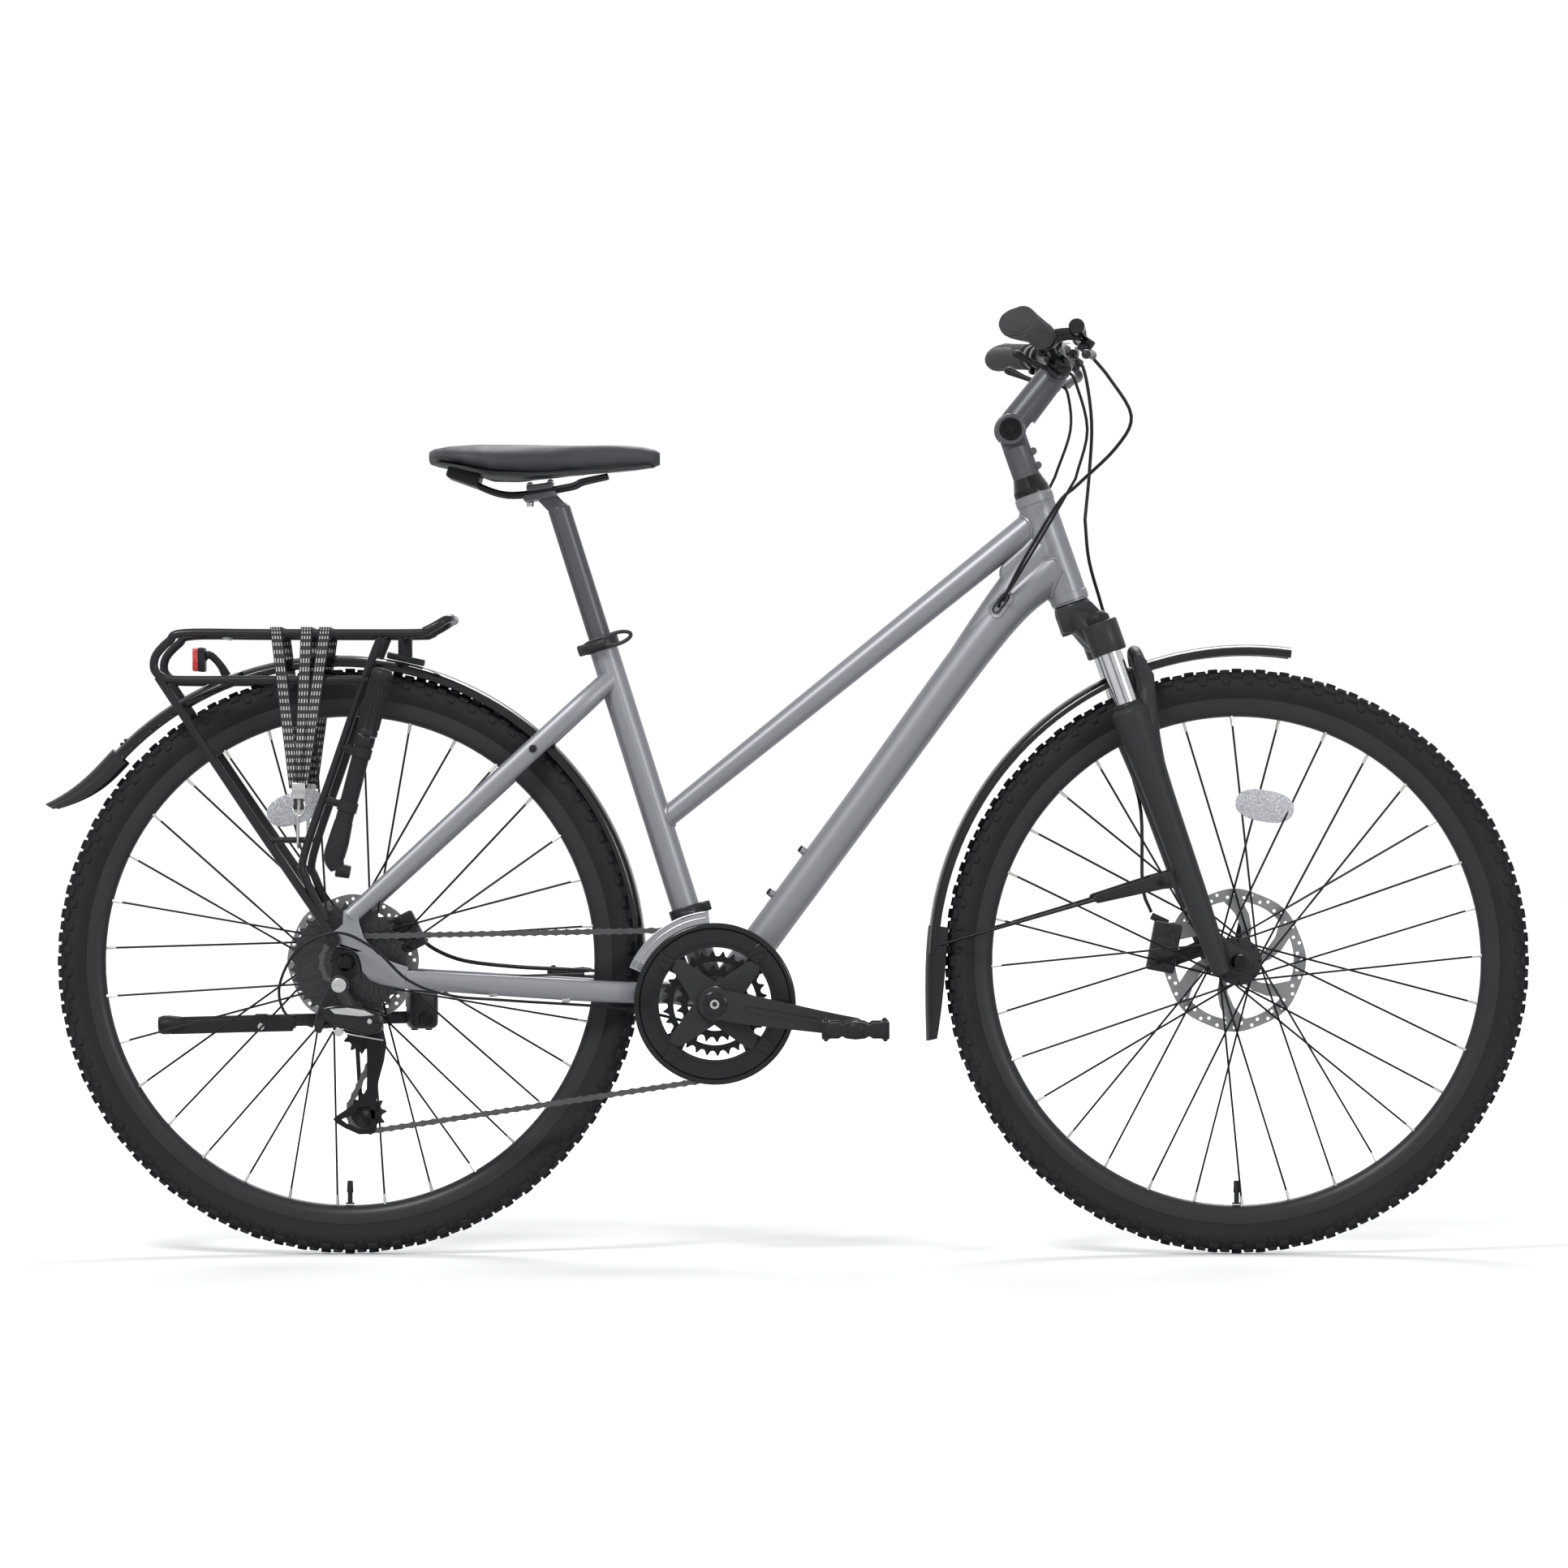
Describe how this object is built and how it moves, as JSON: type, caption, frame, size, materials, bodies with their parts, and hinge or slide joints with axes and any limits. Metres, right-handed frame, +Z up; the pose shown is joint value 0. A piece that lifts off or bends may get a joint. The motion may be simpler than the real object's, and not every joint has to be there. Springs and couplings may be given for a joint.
{
  "type": "cross hybrid bicycle",
  "caption": "Diamond-frame trekking bicycle with a curved down tube, suspension fork, adjustable stem, disc brakes, mudguards, rear rack with straps, chain guard, pump and kickstand.",
  "frame": {"origin": "on the ground, midway between the two wheel axles, in the plane of the wheels", "axes": "+X forwards, +Y to the rider's left, away from the chain, +Z up"},
  "size_m": [1.7919, 0.6272, 1.1206],
  "materials": {
    "titanium_paint": "satin metallic grey paint",
    "gloss_black": "gloss",
    "black_rubber": "knobbly tread, matt sidewalls",
    "cable_sheath": "smooth sheath",
    "grip_rubber": "matt ribbed rubber",
    "silver_steel": "bright steel",
    "dark_steel": "dark plated steel",
    "black_cloth": "woven elastic",
    "saddle_vinyl": "matt synthetic leather",
    "red_lens": "ribbed red lens",
    "black_steel": "satin black paint",
    "black_aluminium": "satin black anodised",
    "black_plastic": "matt"
  },
  "bodies": {
    "frame": {"frame": "titanium_paint", "seat_collar": "black_aluminium", "rear_rack": "black_steel", "luggage_strap": "black_cloth", "rear_mudguard": "gloss_black", "rear_lamp": "red_lens", "kickstand_bracket": "black_steel", "front_derailleur": "silver_steel", "rear_derailleur": "black_aluminium", "rear_brake_caliper": "black_aluminium", "rear_derailleur_cable": "cable_sheath", "rear_axle": "black_steel", "pump_barrel": "black_plastic", "chain": "dark_steel"},
    "seat_clamp": {"seat_clamp_lever": "black_steel"},
    "kickstand": {"kickstand_leg": "black_steel"},
    "derailleur_arm": {"derailleur_cage": "black_steel"},
    "guide_wheel": {"guide_pulley": "black_plastic"},
    "tension_wheel": {"tension_pulley": "black_plastic"},
    "rear_release": {"rear_quick_release_lever": "black_steel"},
    "pump_grip": {"pump_handle": "black_plastic"},
    "seat": {"seatpost": "black_aluminium", "saddle_base": "black_plastic", "saddle_cover": "saddle_vinyl"},
    "steering_column": {"fork_upper": "black_aluminium", "stem_base": "black_aluminium"},
    "preload_knob": {"suspension_knob": "black_plastic"},
    "cockpit": {"stem_arm": "black_aluminium", "handlebar": "black_aluminium", "right_grip": "grip_rubber", "left_grip": "grip_rubber", "right_brake_mount": "gloss_black", "left_brake_mount": "gloss_black", "front_brake_hose": "cable_sheath", "rear_brake_hose": "cable_sheath", "shift_cables": "cable_sheath"},
    "right_brake": {"right_brake_lever": "black_aluminium"},
    "left_brake": {"left_brake_lever": "black_aluminium"},
    "right_shifter": {"right_shift_lever": "black_plastic"},
    "left_shifter": {"left_shift_lever": "black_plastic"},
    "fork_lower": {"fork_lowers": "black_aluminium", "front_mudguard": "gloss_black", "front_brake_caliper": "black_aluminium", "front_axle": "black_steel"},
    "front_release": {"front_quick_release_lever": "black_steel"},
    "front_wheel": {"front_tyre": "black_rubber", "front_rim": "black_aluminium", "front_hub": "black_aluminium", "front_rotor": "silver_steel"},
    "rear_wheel": {"rear_tyre": "black_rubber", "rear_rim": "black_aluminium", "rear_hub": "black_aluminium", "rear_rotor": "silver_steel"},
    "sprockets": {"cassette": "dark_steel"},
    "crankset": {"right_crank": "black_aluminium", "chainrings": "black_steel", "chain_guard": "gloss_black", "left_crank": "black_aluminium"},
    "right_pedal_body": {"right_pedal": "black_aluminium"},
    "left_pedal_body": {"left_pedal": "black_aluminium"}
  },
  "joints": [
    {"name": "steering", "type": "hinge", "parent": "frame", "child": "steering_column", "pos_m": [0.33502, 0, 0.78515], "axis": [-0.3313, 0, 0.9435], "range_deg": [-70, 70], "deforming": ["front_brake_hose", "rear_brake_hose", "shift_cables"]},
    {"name": "stem_angle", "type": "hinge", "parent": "steering_column", "child": "cockpit", "pos_m": [0.26162, 0, 0.99414], "axis": [0, 1, 0], "range_deg": [-40, 10], "deforming": ["front_brake_hose", "rear_brake_hose", "shift_cables"]},
    {"name": "fork_travel", "type": "slide", "parent": "steering_column", "child": "fork_lower", "axis": [-0.3313, 0, 0.9435], "range_m": [0, 0.05], "stiffness_N_per_m": 7000, "springref_m": -0.012, "deforming": ["front_brake_hose"]},
    {"name": "suspension_knob", "type": "hinge", "parent": "steering_column", "child": "preload_knob", "pos_m": [0.3661, -0.063, 0.76003], "axis": [-0.3313, 0, 0.9435], "range_deg": [0, 90]},
    {"name": "front_wheel_spin", "type": "hinge", "parent": "fork_lower", "child": "front_wheel", "pos_m": [0.535, 0, 0.353], "axis": [0, 1, 0], "continuous": true},
    {"name": "front_quick_release", "type": "hinge", "parent": "fork_lower", "child": "front_release", "pos_m": [0.535, 0.0696, 0.353], "axis": [-0.9659, 0, 0.2588], "range_deg": [0, 150]},
    {"name": "rear_wheel_spin", "type": "hinge", "parent": "frame", "child": "rear_wheel", "pos_m": [-0.535, 0, 0.353], "axis": [0, 1, 0], "continuous": true},
    {"name": "rear_quick_release", "type": "hinge", "parent": "frame", "child": "rear_release", "pos_m": [-0.535, 0.0871, 0.353], "axis": [-0.7071, 0, 0.7071], "range_deg": [0, 150]},
    {"name": "crank_spin", "type": "hinge", "parent": "frame", "child": "crankset", "pos_m": [-0.09382, 0, 0.303], "axis": [0, 1, 0], "continuous": true},
    {"name": "cassette_spin", "type": "hinge", "parent": "frame", "child": "sprockets", "pos_m": [-0.535, 0, 0.353], "axis": [0, 1, 0], "continuous": true},
    {"name": "right_pedal_spin", "type": "hinge", "parent": "crankset", "child": "right_pedal_body", "pos_m": [0.07389, -0.15, 0.27523], "axis": [0, 1, 0], "continuous": true},
    {"name": "left_pedal_spin", "type": "hinge", "parent": "crankset", "child": "left_pedal_body", "pos_m": [-0.26154, 0.15, 0.33077], "axis": [0, 1, 0], "continuous": true},
    {"name": "derailleur_cage", "type": "hinge", "parent": "frame", "child": "derailleur_arm", "pos_m": [-0.508, -0.0555, 0.281], "axis": [0, 1, 0], "range_deg": [-20, 35], "stiffness_Nm_per_rad": 3, "deforming": ["chain"]},
    {"name": "guide_pulley_spin", "type": "hinge", "parent": "derailleur_arm", "child": "guide_wheel", "pos_m": [-0.516, -0.0555, 0.267], "axis": [0, 1, 0], "continuous": true},
    {"name": "tension_pulley_spin", "type": "hinge", "parent": "derailleur_arm", "child": "tension_wheel", "pos_m": [-0.5115, -0.0555, 0.172], "axis": [0, 1, 0], "continuous": true},
    {"name": "left_brake_lever", "type": "hinge", "parent": "cockpit", "child": "left_brake", "pos_m": [0.34409, 0.164, 1.08077], "axis": [0.5408, 0, 0.8412], "range_deg": [0, 20], "stiffness_Nm_per_rad": 0.6, "springref_deg": -8.59},
    {"name": "right_brake_lever", "type": "hinge", "parent": "cockpit", "child": "right_brake", "pos_m": [0.34409, -0.164, 1.08077], "axis": [-0.5408, 0, -0.8412], "range_deg": [0, 20], "stiffness_Nm_per_rad": 0.6, "springref_deg": -8.59},
    {"name": "left_shift_lever", "type": "hinge", "parent": "cockpit", "child": "left_shifter", "pos_m": [0.3108, 0.128, 1.06035], "axis": [0.6222, 0, 0.7828], "range_deg": [0, 25], "stiffness_Nm_per_rad": 0.3, "springref_deg": -11.46},
    {"name": "right_shift_lever", "type": "hinge", "parent": "cockpit", "child": "right_shifter", "pos_m": [0.3108, -0.128, 1.06035], "axis": [-0.6222, 0, -0.7828], "range_deg": [0, 25], "stiffness_Nm_per_rad": 0.3, "springref_deg": -11.46},
    {"name": "kickstand_swing", "type": "hinge", "parent": "frame", "child": "kickstand", "pos_m": [-0.456, 0.086, 0.281], "axis": [0.3185, -0.9479, 0], "range_deg": [0, 120]},
    {"name": "seat_height", "type": "slide", "parent": "frame", "child": "seat", "axis": [-0.3024, 0, 0.9532], "range_m": [-0.1, 0.04]},
    {"name": "seat_clamp", "type": "hinge", "parent": "frame", "child": "seat_clamp", "pos_m": [-0.25454, 0, 0.72779], "axis": [0, 1, 0], "range_deg": [-110, 0]},
    {"name": "pump_stroke", "type": "slide", "parent": "frame", "child": "pump_grip", "axis": [0.2519, 0, 0.9678], "range_m": [0, 0.06]}
  ],
  "couplings": [
    {"joint": "cassette_spin", "follows": "crank_spin", "ratio": 2.9333},
    {"joint": "guide_pulley_spin", "follows": "crank_spin", "ratio": -4},
    {"joint": "tension_pulley_spin", "follows": "crank_spin", "ratio": 4}
  ]
}
